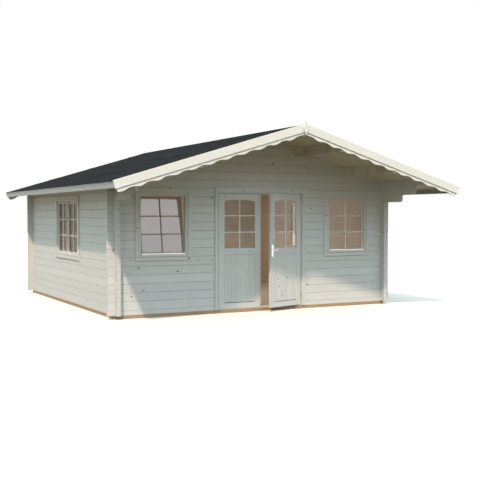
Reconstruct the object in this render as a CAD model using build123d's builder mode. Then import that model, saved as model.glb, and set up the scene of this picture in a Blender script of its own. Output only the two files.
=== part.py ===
"""A log cottage: interlocked log walls under a low ridge roof with a deep front overhang.

The frame has +X to the right along the front, +Y into the depth and +Z up. The origin is on
the ground in the middle of the plan. All sizes are in millimetres.
"""

import os
from math import atan, ceil, cos, pi, sin, sqrt

from build123d import *

os.makedirs("parts", exist_ok=True)

# Walls and logs
wall_width = 5000.0
wall_depth = 5000.0
log_thickness = 60.0
log_course = 134.0
log_groove = 6.0
corner_projection = 110.0
side_full_logs = 15
top_log_height = 84.0

# Base
bearer_height = 55.0
bearer_width = 60.0
joist_count = 9
joist_width = 45.0
floor_thickness = 20.0

# Roof
roof_rise_per_run = 0.3
side_overhang = 500.0
front_overhang = 1400.0
rear_overhang = 170.0
roof_board_thickness = 19.0
felt_thickness = 8.0
purlin_width = 60.0
purlin_height = 150.0
inner_purlin_x = 690.0
outer_purlin_x = 1690.0
bracket_reaches = (545.0, 915.0)
bracket_rounding = 55.0

# Trim boards of the roof
barge_height = 120.0
barge_thickness = 14.0
barge_lip = 8.0
scallop_thickness = 18.0
scallop_shallow = 34.0
scallop_deep = 57.0
scallop_pitch = 274.0
scallop_first = 300.0
scallop_end_gap = 23.5
fascia_height = 92.0
fascia_thickness = 20.0
felt_drip = 6.0
finial_thickness = 18.0
finial_width = 90.0
finial_above = 55.0
finial_shoulder = 122.0
finial_length = 234.0

# Doorway and doors
doorway_x = 18.0
door_opening_half = 810.0
door_jamb = 35.0
door_head = 1920.0
door_sill = 10.0
door_gap = 5.0
door_meeting_gap = 7.0
leaf_thickness = 40.0
leaf_setback = 3.0
leaf_stile = 104.0
leaf_top_rail = 93.0
leaf_middle_rail = 105.0
leaf_bottom_rail = 85.0
leaf_panel_height = 779.0
leaf_panel_recess = 9.0
glass_arch_rise = 28.0
door_stop_width = 15.0
door_trim_width = 60.0
door_trim_head = 100.0
door_trim_reveal = 10.0
trim_thickness = 18.0
rest_opening = 19.0

# Hinges
hinge_radius = 8.0
hinge_pin_radius = 4.0
hinge_pin_clearance = 0.25
hinge_knuckle = 45.0
hinge_face_gap = 0.3
hinge_plate = 2.2
hinge_plate_depth = 30.0
hinge_heights = (250.0, 1000.0, 1690.0)

# Handle
plate_height = 200.0
plate_width = 38.0
plate_thickness = 3.0
handle_height = 1010.0
handle_backset = 48.0
lever_length = 115.0
lever_height = 18.0
lever_thickness = 9.0
lever_reach = 42.0
lever_neck_radius = 8.0
lever_neck_clearance = 0.3
plate_above_lever = 85.0

# Windows
window_height = 947.0
window_bottom = 950.0
front_window_width = 773.0
front_window_x = 1706.0
side_window_width = 1270.0
window_frame = 20.0
window_trim_width = 95.0
window_trim_lap = 16.0
sash_gap = 3.0
sash_head_gap = 10.0
sash_seat_gap = 0.3
sash_width = 26.0
sash_thickness = 40.0
sash_setback = 12.0
side_mullion = 40.0
sash_tilt = 9.0
glass_thickness = 4.0
glass_rebate = 9.0
glass_depth = 20.0

# Places worked out from the sizes above
half_width = wall_width / 2
inner_half = half_width - log_thickness
gable_length = front_overhang + wall_depth + rear_overhang
front_y = -gable_length / 2 + front_overhang
back_y = front_y + wall_depth
front_inner_y = front_y + log_thickness
pitch = atan(roof_rise_per_run)
roof_half = half_width + side_overhang
eave_underside = bearer_height + side_full_logs * log_course + top_log_height
ridge_underside = eave_underside + roof_rise_per_run * half_width
felt_underside = ridge_underside + roof_board_thickness / cos(pitch)
felt_top = felt_underside + felt_thickness / cos(pitch)
barge_top = felt_top + barge_lip
slope_length = roof_half / cos(pitch)
felt_down = barge_lip * cos(pitch)
boards_down = felt_down + felt_thickness
scallop_span = slope_length - scallop_end_gap - scallop_first
scallop_count = round(scallop_span / scallop_pitch - 0.25) + 1
scallop_step = scallop_span / (scallop_count - 0.75)
roof_front_y = -gable_length / 2 + barge_thickness
roof_back_y = gable_length / 2 - barge_thickness
frame_front_y = roof_front_y + scallop_thickness
frame_back_y = roof_back_y - scallop_thickness
door_head_line = bearer_height + (side_full_logs - 0.5) * log_course
side_window_bottom = window_bottom - log_course / 2
wall_top = ridge_underside + log_course


def keep(piece, name):
    """Name a finished piece and write it to its own file."""
    piece.label = name
    export_step(piece, f"parts/{name}.step")


def keep_in_doorway(piece, name):
    """Move a piece drawn about the middle of the doorway to where the doorway stands, and keep it."""
    keep(Location((doorway_x, 0, 0)) * piece, name)


def underside(x):
    """Height of the underside of the roof boards at a distance from the ridge."""
    return ridge_underside - roof_rise_per_run * abs(x)


def gable_outline(half, bottom):
    """Draw the face of a wall under the roof boards, in the active sketch."""
    with BuildLine() as outline:
        Polyline(
            (-half, bottom),
            (half, bottom),
            (half, underside(half)),
            (0, ridge_underside),
            (-half, underside(half)),
            close=True,
        )
    make_face(outline.edges())


def stacked_logs(middle, bottom, top, first_line, facing):
    """Draw the section of a wall of logs, with a V groove in its outer face at each course."""
    with Locations((middle, (bottom + top) / 2)):
        Rectangle(log_thickness, top - bottom)
    courses = ceil((top - first_line) / log_course)
    lines = [first_line + n * log_course for n in range(courses + 1)]
    places = [(middle + facing * log_thickness / 2, z) for z in lines]
    with Locations(*places):
        Rectangle(log_groove, log_groove, rotation=45, mode=Mode.SUBTRACT)


def cross_wall(left, right, bottom, top, outer_y, facing):
    """Logs that run along X, halved over the side walls' logs where they cross them."""
    middle = outer_y - facing * log_thickness / 2
    with BuildPart() as wall:
        with BuildSketch(Plane.YZ.offset(left)):
            stacked_logs(middle, bottom, top, bearer_height + log_course / 2, facing)
        extrude(amount=right - left)
        with BuildSketch(Plane.XZ.offset(-middle)):
            gable_outline(half_width + corner_projection, bearer_height)
        extrude(amount=log_thickness, both=True, mode=Mode.INTERSECT)
        laps = [
            (side * (half_width - log_thickness / 2), middle, bearer_height + (n + 0.5) * log_course)
            for n in range(side_full_logs)
            for side in (-1, 1)
        ]
        with Locations(*laps):
            Box(log_thickness, log_thickness, log_course / 2, mode=Mode.SUBTRACT)
        top_lap = bearer_height + (side_full_logs + 0.25) * log_course
        with Locations(*[(side * (half_width - log_thickness / 2), middle, top_lap) for side in (-1, 1)]):
            Box(
                log_thickness,
                log_thickness,
                log_course,
                align=(Align.CENTER, Align.CENTER, Align.MIN),
                mode=Mode.SUBTRACT,
            )
    return wall.part


def cut_front_windows(wall):
    """Cut the openings of the two front windows."""
    openings = [(side * front_window_x, front_y + log_thickness / 2, window_bottom) for side in (-1, 1)]
    with BuildPart() as cut:
        add(wall)
        with Locations(*openings):
            Box(
                front_window_width,
                log_thickness,
                window_height,
                align=(Align.CENTER, Align.CENTER, Align.MIN),
                mode=Mode.SUBTRACT,
            )
    return cut.part


def cut_purlin_pockets(wall):
    """Cut the pockets in a gable through which the purlins pass."""
    with BuildPart() as cut:
        add(wall)
        for x in purlin_places:
            with BuildSketch(Plane.XZ):
                purlin_section(x)
            extrude(amount=gable_length, both=True, mode=Mode.SUBTRACT)
    return cut.part


purlin_places = (0.0, -inner_purlin_x, inner_purlin_x, -outer_purlin_x, outer_purlin_x)


def purlin_section(x):
    """Draw a purlin's section with its top planed to the slope of the roof."""
    low = underside(x) - purlin_height
    left = x - purlin_width / 2
    right = x + purlin_width / 2
    with BuildLine() as outline:
        if x == 0:
            Polyline(
                (left, low),
                (right, low),
                (right, underside(right)),
                (0, ridge_underside),
                (left, underside(left)),
                close=True,
            )
        else:
            Polyline(
                (left, low),
                (right, low),
                (right, underside(right)),
                (left, underside(left)),
                close=True,
            )
    make_face(outline.edges())


def side_outline():
    """Draw a side wall's face, whose top logs step forward to carry the overhang."""
    step_line = bearer_height + (side_full_logs - len(bracket_reaches)) * log_course
    top_line = bearer_height + side_full_logs * log_course
    points = [
        (front_y - corner_projection, bearer_height),
        (back_y + corner_projection, bearer_height),
        (back_y + corner_projection, top_line),
        (frame_back_y, top_line),
        (frame_back_y, wall_top),
        (frame_front_y, wall_top),
        (frame_front_y, top_line),
    ]
    noses = []
    for n, reach in reversed(list(enumerate(bracket_reaches))):
        low = step_line + n * log_course
        points.append((front_y - reach, low + log_course))
        points.append((front_y - reach, low))
        noses.append((front_y - reach, low))
    points.append((front_y - corner_projection, step_line))
    with BuildLine() as outline:
        Polyline(*points, close=True)
    face = make_face(outline.edges())
    corners = [face.vertices().sort_by_distance((y, z, 0))[0] for y, z in noses]
    fillet(corners, bracket_rounding)


def side_wall(side):
    """Logs that run along Y, halved under the front and back walls' logs."""
    middle = side * (half_width - log_thickness / 2)
    with BuildPart() as wall:
        with BuildSketch(Plane.XZ.offset(-frame_back_y)):
            stacked_logs(middle, bearer_height, wall_top, bearer_height + log_course, side)
        extrude(amount=frame_back_y - frame_front_y)
        with BuildSketch(Plane.YZ.offset(middle)):
            side_outline()
        extrude(amount=log_thickness, both=True, mode=Mode.INTERSECT)
        with BuildSketch(Plane.XZ):
            gable_outline(roof_half, 0)
        extrude(amount=gable_length, both=True, mode=Mode.INTERSECT)
        crossings = (front_y + log_thickness / 2, back_y - log_thickness / 2)
        laps = [
            (middle, y, bearer_height + n * log_course)
            for n in range(side_full_logs + 1)
            for y in crossings
        ]
        with Locations(*laps):
            Box(log_thickness, log_thickness, log_course / 2, mode=Mode.SUBTRACT)
        with Locations((middle, (front_y + back_y) / 2, side_window_bottom)):
            Box(
                log_thickness,
                side_window_width,
                window_height,
                align=(Align.CENTER, Align.CENTER, Align.MIN),
                mode=Mode.SUBTRACT,
            )
    return wall.part


def front_wall(side):
    """The part of the front wall beside the doorway, with its window cut through it."""
    ends = sorted((doorway_x + side * door_opening_half, side * (half_width + corner_projection)))
    return cut_front_windows(cross_wall(*ends, bearer_height, door_head_line, front_y, -1))


# Base beams lie on the ground under the walls, with joists between them
with BuildPart() as cross_bearers:
    bearer_places = [(0, y, 0) for y in (front_y + bearer_width / 2, back_y - bearer_width / 2)]
    with Locations(*bearer_places):
        Box(wall_width, bearer_width, bearer_height, align=(Align.CENTER, Align.CENTER, Align.MIN))
keep(cross_bearers.part, "cross_bearers")

with BuildPart() as side_bearers:
    bearer_sides = [(side * (half_width - bearer_width / 2), (front_y + back_y) / 2, 0) for side in (-1, 1)]
    with Locations(*bearer_sides):
        Box(
            bearer_width,
            wall_depth - 2 * bearer_width,
            bearer_height,
            align=(Align.CENTER, Align.CENTER, Align.MIN),
        )
keep(side_bearers.part, "side_bearers")

with BuildPart() as floor_joists:
    joist_space = (wall_depth - 2 * bearer_width) / (joist_count + 1)
    joist_places = [(0, front_y + bearer_width + (n + 1) * joist_space, 0) for n in range(joist_count)]
    with Locations(*joist_places):
        Box(
            wall_width - 2 * bearer_width,
            joist_width,
            bearer_height,
            align=(Align.CENTER, Align.CENTER, Align.MIN),
        )
keep(floor_joists.part, "floor_joists")

with BuildPart() as floor_boards:
    with BuildSketch(Plane.XY.offset(bearer_height)):
        with Locations((0, (front_y + back_y) / 2)):
            Rectangle(2 * inner_half, wall_depth - 2 * log_thickness)
    extrude(amount=floor_thickness)
keep(floor_boards.part, "floor_boards")

# Walls of logs
for side, name in ((-1, "front_wall_left"), (1, "front_wall_right")):
    keep(front_wall(side), name)

wall_reach = half_width + corner_projection
gable_logs = cross_wall(-wall_reach, wall_reach, door_head_line, wall_top, front_y, -1)
keep(cut_purlin_pockets(cut_front_windows(gable_logs)), "front_gable")

back_wall = cut_purlin_pockets(cross_wall(-wall_reach, wall_reach, bearer_height, wall_top, back_y, 1))
keep(back_wall, "back_wall")

for side, name in ((-1, "left_wall"), (1, "right_wall")):
    keep(side_wall(side), name)

# Purlins run from the front barge boards to the rear ones
for name, places in (("ridge_purlin", purlin_places[:1]), ("side_purlins", purlin_places[1:])):
    with BuildPart() as purlins:
        for x in places:
            with BuildSketch(Plane.XZ.offset(-frame_back_y)):
                purlin_section(x)
            extrude(amount=frame_back_y - frame_front_y)
    keep(purlins.part, name)


def slope_point(side, along, down):
    """A point of a roof slope: along it from the ridge, and square down from the barge board's top."""
    x = side * (along * cos(pitch) - down * sin(pitch))
    return (x, barge_top - along * sin(pitch) - down * cos(pitch))


def at_ridge(down):
    """The point where a line parallel to the slope meets the plumb cut at the ridge."""
    return (0, barge_top - down / cos(pitch))


def roof_layer(side, down, thickness, length):
    """A flat layer of one roof slope, plumb at the ridge and square at the eave."""
    with BuildPart() as layer:
        with BuildSketch(Plane.XZ.offset(-roof_back_y)):
            with BuildLine():
                Polyline(
                    at_ridge(down),
                    slope_point(side, length, down),
                    slope_point(side, length, down + thickness),
                    at_ridge(down + thickness),
                    close=True,
                )
            make_face()
        extrude(amount=roof_back_y - roof_front_y)
    return layer.part


fascia_outer = slope_length - felt_drip
fascia_inner = fascia_outer - fascia_thickness
for side, word in ((-1, "left"), (1, "right")):
    keep(roof_layer(side, boards_down, roof_board_thickness, fascia_inner), f"roof_boards_{word}")
    keep(roof_layer(side, felt_down, felt_thickness, slope_length), f"roof_felt_{word}")


def barge_board(side, y):
    """The upper board of a gable, cut plumb at the ridge and square at the eave."""
    with BuildPart() as board:
        with BuildSketch(Plane.XZ.offset(-y)):
            with BuildLine():
                Polyline(
                    at_ridge(0),
                    slope_point(side, slope_length, 0),
                    slope_point(side, slope_length, barge_height),
                    at_ridge(barge_height),
                    close=True,
                )
            make_face()
        extrude(amount=barge_thickness)
    return board.part


def scallop_board(side, y):
    """The lower board of a gable, with a waved lower edge of arcs that run into each other."""
    high = barge_height + scallop_shallow
    low = barge_height + scallop_deep
    mid = (high + low) / 2
    quarter = scallop_step / 4
    sagitta = (low - high) / 2
    radius = (quarter**2 + sagitta**2) / (2 * sagitta)
    ease = radius - sqrt(radius**2 - (quarter / 2) ** 2)
    top = (barge_top - ridge_underside) * cos(pitch)
    start = scallop_first - 2 * quarter
    end = scallop_first + (scallop_count - 1) * scallop_step + quarter

    def spot(along, down):
        return slope_point(side, along, down)

    with BuildPart() as board:
        with BuildSketch(Plane.XZ.offset(-y)):
            with BuildLine():
                Line(spot(end, mid), spot(end, top))
                Line(spot(end, top), at_ridge(top))
                Line(at_ridge(top), at_ridge(high))
                Line(at_ridge(high), spot(start, high))
                ThreePointArc(
                    spot(start, high),
                    spot(start + quarter / 2, high + ease),
                    spot(start + quarter, mid),
                )
                for n in range(scallop_count):
                    lobe = scallop_first + n * scallop_step
                    ThreePointArc(spot(lobe - quarter, mid), spot(lobe, low), spot(lobe + quarter, mid))
                    if n < scallop_count - 1:
                        hollow = lobe + 2 * quarter
                        ThreePointArc(
                            spot(hollow - quarter, mid),
                            spot(hollow, high),
                            spot(hollow + quarter, mid),
                        )
            make_face()
        extrude(amount=scallop_thickness)
    return board.part


# Barge boards close the gables, with the scalloped boards behind them
for side, word in ((-1, "left"), (1, "right")):
    keep(barge_board(side, roof_front_y), f"front_barge_board_{word}")
    keep(barge_board(side, roof_back_y + barge_thickness), f"rear_barge_board_{word}")
    keep(scallop_board(side, frame_front_y), f"front_scallop_board_{word}")
    keep(scallop_board(side, roof_back_y), f"rear_scallop_board_{word}")

# Eave fascias are nailed square to the ends of the roof boards, under the felt
with BuildPart() as eave_fascias:
    for side in (-1, 1):
        with BuildSketch(Plane.XZ.offset(-frame_back_y)):
            with BuildLine():
                Polyline(
                    slope_point(side, fascia_inner, boards_down),
                    slope_point(side, fascia_outer, boards_down),
                    slope_point(side, fascia_outer, boards_down + fascia_height),
                    slope_point(side, fascia_inner, boards_down + fascia_height),
                    close=True,
                )
            make_face()
        extrude(amount=frame_back_y - frame_front_y)
keep(eave_fascias.part, "eave_fascias")

# Finials cover the joint of the barge boards
with BuildPart() as finials:
    for face_y in (-gable_length / 2, gable_length / 2 + finial_thickness):
        with BuildSketch(Plane.XZ.offset(-face_y)):
            with BuildLine():
                tip = barge_top + finial_above
                Polyline(
                    (0, tip),
                    (finial_width / 2, tip - finial_shoulder),
                    (0, tip - finial_length),
                    (-finial_width / 2, tip - finial_shoulder),
                    close=True,
                )
            make_face()
        extrude(amount=finial_thickness)
keep(finials.part, "finials")

# The doorway is drawn about x = 0 and stands beside the middle of the front wall.
# Its lining has stops behind the leaves
with BuildPart() as door_frame:
    clear_half = door_opening_half - door_jamb
    with BuildSketch(Plane.XZ.offset(-front_inner_y)):
        with Locations((0, (bearer_height + door_head_line) / 2)):
            Rectangle(2 * door_opening_half, door_head_line - bearer_height)
        with Locations((0, (bearer_height + door_sill + door_head) / 2)):
            Rectangle(2 * clear_half, door_head - bearer_height - door_sill, mode=Mode.SUBTRACT)
    extrude(amount=log_thickness)
    stop_depth = log_thickness - leaf_setback - leaf_thickness - door_gap
    with BuildSketch(Plane.XZ.offset(-front_inner_y)):
        with Locations((0, (bearer_height + door_sill + door_head) / 2)):
            Rectangle(2 * clear_half, door_head - bearer_height - door_sill)
        stop_top = door_head - door_stop_width
        with Locations((0, (bearer_height + door_sill + stop_top) / 2)):
            Rectangle(
                2 * (clear_half - door_stop_width),
                stop_top - bearer_height - door_sill,
                mode=Mode.SUBTRACT,
            )
    extrude(amount=stop_depth)
keep_in_doorway(door_frame.part, "door_frame")

with BuildPart() as door_trim:
    trim_inner = clear_half + door_trim_reveal
    trim_outer = trim_inner + door_trim_width
    trim_low = door_head + door_trim_reveal
    trim_high = trim_low + door_trim_head
    with BuildSketch(Plane.XZ.offset(-front_y)):
        with Locations((0, (bearer_height + trim_high) / 2)):
            Rectangle(2 * trim_outer, trim_high - bearer_height)
        with Locations((0, (bearer_height + trim_low) / 2)):
            Rectangle(2 * trim_inner, trim_low - bearer_height, mode=Mode.SUBTRACT)
    extrude(amount=trim_thickness)
keep_in_doorway(door_trim.part, "door_trim")

# The left leaf is drawn closed, and the right one is its mirror image
leaf_outer_y = front_y + leaf_setback
leaf_left = -clear_half + door_gap
leaf_right = -door_meeting_gap / 2
leaf_bottom = bearer_height + door_sill + door_gap
leaf_top = door_head - door_gap
leaf_middle = (leaf_left + leaf_right) / 2
leaf_width = leaf_right - leaf_left
hinge_x = clear_half - door_gap / 2
hinge_y = front_y - hinge_radius - hinge_face_gap
panel_low = leaf_bottom + leaf_bottom_rail
panel_high = panel_low + leaf_panel_height
glass_low = panel_high + leaf_middle_rail
glass_crown = leaf_top - leaf_top_rail
glass_half = leaf_width / 2 - leaf_stile


def arched_light(margin):
    """Draw the arch-headed light of a leaf, widened by a margin all round."""
    half = glass_half + margin
    spring = glass_crown - glass_arch_rise
    with BuildLine() as outline:
        Line((leaf_middle + half, spring), (leaf_middle + half, glass_low - margin))
        Line((leaf_middle + half, glass_low - margin), (leaf_middle - half, glass_low - margin))
        Line((leaf_middle - half, glass_low - margin), (leaf_middle - half, spring))
        ThreePointArc(
            (leaf_middle - half, spring),
            (leaf_middle, glass_crown + margin),
            (leaf_middle + half, spring),
        )
    make_face(outline.edges())


def hang(piece, side):
    """Put a piece made for the left leaf on its own side, and open the right leaf to its rest angle."""
    if side < 0:
        return piece
    hinge_line = Axis((hinge_x, hinge_y, 0), (0, 0, 1))
    return piece.mirror(Plane.YZ).rotate(hinge_line, rest_opening)


with BuildPart() as leaf:
    with BuildSketch(Plane.XZ.offset(-leaf_outer_y)):
        with Locations((leaf_middle, (leaf_bottom + leaf_top) / 2)):
            Rectangle(leaf_width, leaf_top - leaf_bottom)
    extrude(amount=-leaf_thickness)
    with BuildSketch(Plane.XZ.offset(-leaf_outer_y)):
        arched_light(0)
    extrude(amount=-leaf_thickness, mode=Mode.SUBTRACT)
    with BuildSketch(Plane.XZ.offset(-leaf_outer_y - glass_depth)):
        arched_light(glass_rebate)
    extrude(amount=-leaf_thickness, mode=Mode.SUBTRACT)
    for face_y, inward in ((leaf_outer_y, -1), (leaf_outer_y + leaf_thickness, 1)):
        with BuildSketch(Plane.XZ.offset(-face_y)):
            with Locations((leaf_middle, (panel_low + panel_high) / 2)):
                Rectangle(2 * glass_half, leaf_panel_height)
        extrude(amount=inward * leaf_panel_recess, mode=Mode.SUBTRACT)

with BuildPart() as leaf_glass:
    with BuildSketch(Plane.XZ.offset(-leaf_outer_y - glass_depth)):
        arched_light(glass_rebate)
    extrude(amount=-glass_thickness)

with BuildPart() as leaf_knuckles:
    for z in hinge_heights:
        with BuildSketch(Plane.XY.offset(z + hinge_face_gap)):
            with Locations((-hinge_x, hinge_y)):
                Circle(hinge_radius)
            with Locations((leaf_left - hinge_plate / 2, hinge_y)):
                Rectangle(
                    hinge_plate,
                    hinge_radius + hinge_plate_depth,
                    align=(Align.CENTER, Align.MIN),
                )
            with Locations((-hinge_x, hinge_y)):
                Circle(hinge_pin_radius + hinge_pin_clearance, mode=Mode.SUBTRACT)
        extrude(amount=hinge_knuckle)

keep_in_doorway(leaf.part, "left_door_leaf")
keep_in_doorway(leaf_glass.part, "left_door_glass")
keep_in_doorway(leaf_knuckles.part, "left_leaf_hinges")

right_glass = hang(leaf_glass.part, 1)
right_knuckles = hang(leaf_knuckles.part, 1)

with BuildPart() as frame_hinges:
    for side in (-1, 1):
        for z in hinge_heights:
            with BuildSketch(Plane.XY.offset(z)):
                with Locations((side * hinge_x, hinge_y)):
                    Circle(hinge_radius)
                with Locations((side * (clear_half - hinge_plate / 2), hinge_y)):
                    Rectangle(
                        hinge_plate,
                        hinge_radius + hinge_plate_depth,
                        align=(Align.CENTER, Align.MIN),
                    )
            extrude(amount=-hinge_knuckle)
            with BuildSketch(Plane.XY.offset(z)):
                with Locations((side * hinge_x, hinge_y)):
                    Circle(hinge_pin_radius)
            extrude(amount=hinge_knuckle)
keep_in_doorway(frame_hinges.part, "frame_hinges")

# Handle, drawn on the closed left leaf's free edge and hung with the right leaf
handle_x = leaf_right - handle_backset
leaf_inner_y = leaf_outer_y + leaf_thickness
leaf_half_y = leaf_outer_y + leaf_thickness / 2

with BuildPart() as bored_leaf:
    add(leaf.part)
    with Locations(Location((handle_x, leaf_half_y, handle_height), (90, 0, 0))):
        Cylinder(lever_neck_radius + lever_neck_clearance, leaf_thickness, mode=Mode.SUBTRACT)

with BuildPart() as handle_plates:
    for face_y in (leaf_outer_y, leaf_inner_y + plate_thickness):
        with BuildSketch(Plane.XZ.offset(-face_y)):
            with Locations((handle_x, handle_height + plate_above_lever - plate_height / 2)):
                Rectangle(plate_width, plate_height)
            with Locations((handle_x, handle_height)):
                Circle(lever_neck_radius + lever_neck_clearance, mode=Mode.SUBTRACT)
        extrude(amount=plate_thickness)

with BuildPart() as door_lever:
    neck_length = leaf_thickness + 2 * lever_reach
    with Locations(Location((handle_x, leaf_half_y, handle_height), (90, 0, 0))):
        Cylinder(lever_neck_radius, neck_length)
    for end_y in (leaf_half_y - neck_length / 2 + lever_thickness, leaf_half_y + neck_length / 2):
        with BuildSketch(Plane.XZ.offset(-end_y)):
            with Locations((handle_x - lever_length / 2, handle_height)):
                SlotCenterToCenter(lever_length, lever_height)
        extrude(amount=lever_thickness)

keep_in_doorway(hang(bored_leaf.part, 1), "right_door_leaf")
keep_in_doorway(right_glass, "right_door_glass")
keep_in_doorway(right_knuckles, "right_leaf_hinges")
keep_in_doorway(hang(handle_plates.part, 1), "door_handle_plates")
keep_in_doorway(hang(door_lever.part, 1), "door_lever")


def window_ring(outer_width, outer_height, border):
    """Draw a rectangular ring about the middle of the active sketch."""
    Rectangle(outer_width, outer_height)
    Rectangle(outer_width - 2 * border, outer_height - 2 * border, mode=Mode.SUBTRACT)


def window_plane(x, y, z, turn):
    """A plane on a window's outer face, with its normal pointing out of the building."""
    return Plane(origin=(x, y, z), x_dir=(cos(turn), sin(turn), 0), z_dir=(sin(turn), -cos(turn), 0))


front_turn = 0.0
left_turn = -pi / 2
right_turn = pi / 2
window_middle = window_bottom + window_height / 2
side_middle = side_window_bottom + window_height / 2
wall_middle_y = (front_y + back_y) / 2
front_windows = [
    window_plane(side * front_window_x, front_y, window_middle, front_turn)
    for side in (-1, 1)
]
side_windows = [
    window_plane(-half_width, wall_middle_y, side_middle, left_turn),
    window_plane(half_width, wall_middle_y, side_middle, right_turn),
]

with BuildPart() as front_window_frames:
    for plane in front_windows:
        with BuildSketch(plane):
            window_ring(front_window_width, window_height, window_frame)
        extrude(amount=-log_thickness)
keep(front_window_frames.part, "front_window_frames")

with BuildPart() as side_window_frames:
    for plane in side_windows:
        with BuildSketch(plane):
            window_ring(side_window_width, window_height, window_frame)
            Rectangle(side_mullion, window_height - 2 * window_frame)
        extrude(amount=-log_thickness)
keep(side_window_frames.part, "side_window_frames")

with BuildPart() as window_trims:
    trim_reach = window_trim_width - window_trim_lap
    for planes, width in ((front_windows, front_window_width), (side_windows, side_window_width)):
        for plane in planes:
            with BuildSketch(plane):
                window_ring(width + 2 * trim_reach, window_height + 2 * trim_reach, window_trim_width)
            extrude(amount=trim_thickness)
keep(window_trims.part, "window_trims")

# Sashes stand on the lower rail of their frames, and their panes sit in a rebate from inside
sash_height = window_height - 2 * window_frame - sash_head_gap - sash_seat_gap
front_sash_width = front_window_width - 2 * window_frame - 2 * sash_gap
side_light = (side_window_width - 2 * window_frame - side_mullion) / 2
side_sash_width = side_light - 2 * sash_gap
sash_foot = window_frame + sash_seat_gap - window_height / 2
sash_lift = sash_foot + sash_height / 2


def glass_sheet(width):
    """Draw the outline of a sash's pane, which fills its rebate."""
    border = sash_width - glass_rebate
    Rectangle(width - 2 * border, sash_height - 2 * border)


def sash(plane, width):
    """A sash ring with a rebate for its pane, in the plane of its outer face."""
    with BuildPart() as ring:
        with BuildSketch(plane):
            window_ring(width, sash_height, sash_width)
        extrude(amount=-sash_thickness)
        with BuildSketch(plane.offset(-glass_depth)):
            glass_sheet(width)
        extrude(amount=-sash_thickness, mode=Mode.SUBTRACT)
    return ring.part


def pane(plane, width):
    """The pane of a sash, against the shoulder of its rebate."""
    with BuildPart() as sheet:
        with BuildSketch(plane.offset(-glass_depth)):
            glass_sheet(width)
        extrude(amount=-glass_thickness)
    return sheet.part


def sash_plane(window, shift):
    """The outer face of a closed sash, moved sideways in its window."""
    return Plane(
        origin=window.from_local_coords((shift, sash_lift, -sash_setback)),
        x_dir=window.x_dir,
        z_dir=window.z_dir,
    )


# The left front sash is tilted into the room about its lower inner edge
tilt_y = front_y + sash_setback + sash_thickness
tilt_z = window_middle + sash_foot
tilt_line = Axis((0, tilt_y, tilt_z), (1, 0, 0))
left_front_plane = sash_plane(front_windows[0], 0)
right_front_plane = sash_plane(front_windows[1], 0)
tilted_sash = sash(left_front_plane, front_sash_width).rotate(tilt_line, -sash_tilt)
tilted_pane = pane(left_front_plane, front_sash_width).rotate(tilt_line, -sash_tilt)
keep(tilted_sash, "left_front_sash")
keep(sash(right_front_plane, front_sash_width), "right_front_sash")

with BuildPart() as front_window_glass:
    add(tilted_pane)
    add(pane(right_front_plane, front_sash_width))
keep(front_window_glass.part, "front_window_glass")

side_planes = [
    sash_plane(window, shift * (side_light + side_mullion) / 2)
    for window in side_windows
    for shift in (-1, 1)
]
with BuildPart() as side_window_sashes:
    for plane in side_planes:
        add(sash(plane, side_sash_width))
keep(side_window_sashes.part, "side_window_sashes")

with BuildPart() as side_window_glass:
    for plane in side_planes:
        add(pane(plane, side_sash_width))
keep(side_window_glass.part, "side_window_glass")
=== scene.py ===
import random
from math import asin, atan, cos, pi, radians, sin

import bpy
from mathutils import Matrix, Vector


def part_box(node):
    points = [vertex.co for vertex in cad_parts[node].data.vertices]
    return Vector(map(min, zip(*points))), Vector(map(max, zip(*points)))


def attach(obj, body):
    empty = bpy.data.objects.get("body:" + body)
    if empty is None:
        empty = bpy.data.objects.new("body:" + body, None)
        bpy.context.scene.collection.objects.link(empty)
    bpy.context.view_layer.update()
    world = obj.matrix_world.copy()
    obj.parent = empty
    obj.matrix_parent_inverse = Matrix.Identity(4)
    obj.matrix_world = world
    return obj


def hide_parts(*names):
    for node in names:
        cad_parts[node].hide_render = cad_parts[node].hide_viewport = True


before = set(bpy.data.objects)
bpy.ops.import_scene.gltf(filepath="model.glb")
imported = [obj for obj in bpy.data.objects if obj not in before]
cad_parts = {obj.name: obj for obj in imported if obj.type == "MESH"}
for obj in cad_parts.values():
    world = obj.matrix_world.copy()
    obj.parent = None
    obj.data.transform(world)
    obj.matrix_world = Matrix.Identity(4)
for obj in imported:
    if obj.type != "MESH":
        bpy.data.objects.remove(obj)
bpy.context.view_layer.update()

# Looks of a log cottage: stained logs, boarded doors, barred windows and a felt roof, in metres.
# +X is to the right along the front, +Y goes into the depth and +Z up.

rng = random.Random(11)

# Walls, floor and doorway that the pieces are set against
WALL_HALF = 2.5
ROOM_HALF = 2.44
FRONT_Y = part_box("front_wall_left")[0].y
BACK_Y = FRONT_Y + 2 * WALL_HALF
LOG = 0.06
COURSE = 0.134
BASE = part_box("cross_bearers")[1].z
FLOOR_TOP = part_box("floor_boards")[1].z
FLOOR_BOARD = 0.096
DOORWAY = 0.018
HINGE_X = 0.7725
HINGE_Y = -1.8933
OPENED = radians(19)

# The left door leaf, with boards below and panes above. The right one mirrors it.
leaf_low, leaf_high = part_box("left_door_leaf")
LEAF_HALF = (leaf_high.x - leaf_low.x) / 2
LEAF_OUT = leaf_low.y
LEAF_THICK = 0.04
HINGE_GAP = leaf_low.x - DOORWAY + HINGE_X
STILE = 0.104
BOTTOM_RAIL = 0.085
LOCK_RAIL = 0.105
TOP_RAIL = 0.093
PANEL_HALF = LEAF_HALF - STILE
PANEL_LOW = leaf_low.z + BOTTOM_RAIL
PANEL_HIGH = PANEL_LOW + 0.779
PANEL_COUNT = 9
PANEL_STEP = 0.0615
LIGHT_LOW = PANEL_HIGH + LOCK_RAIL
LIGHT_HIGH = leaf_high.z - TOP_RAIL

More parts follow.
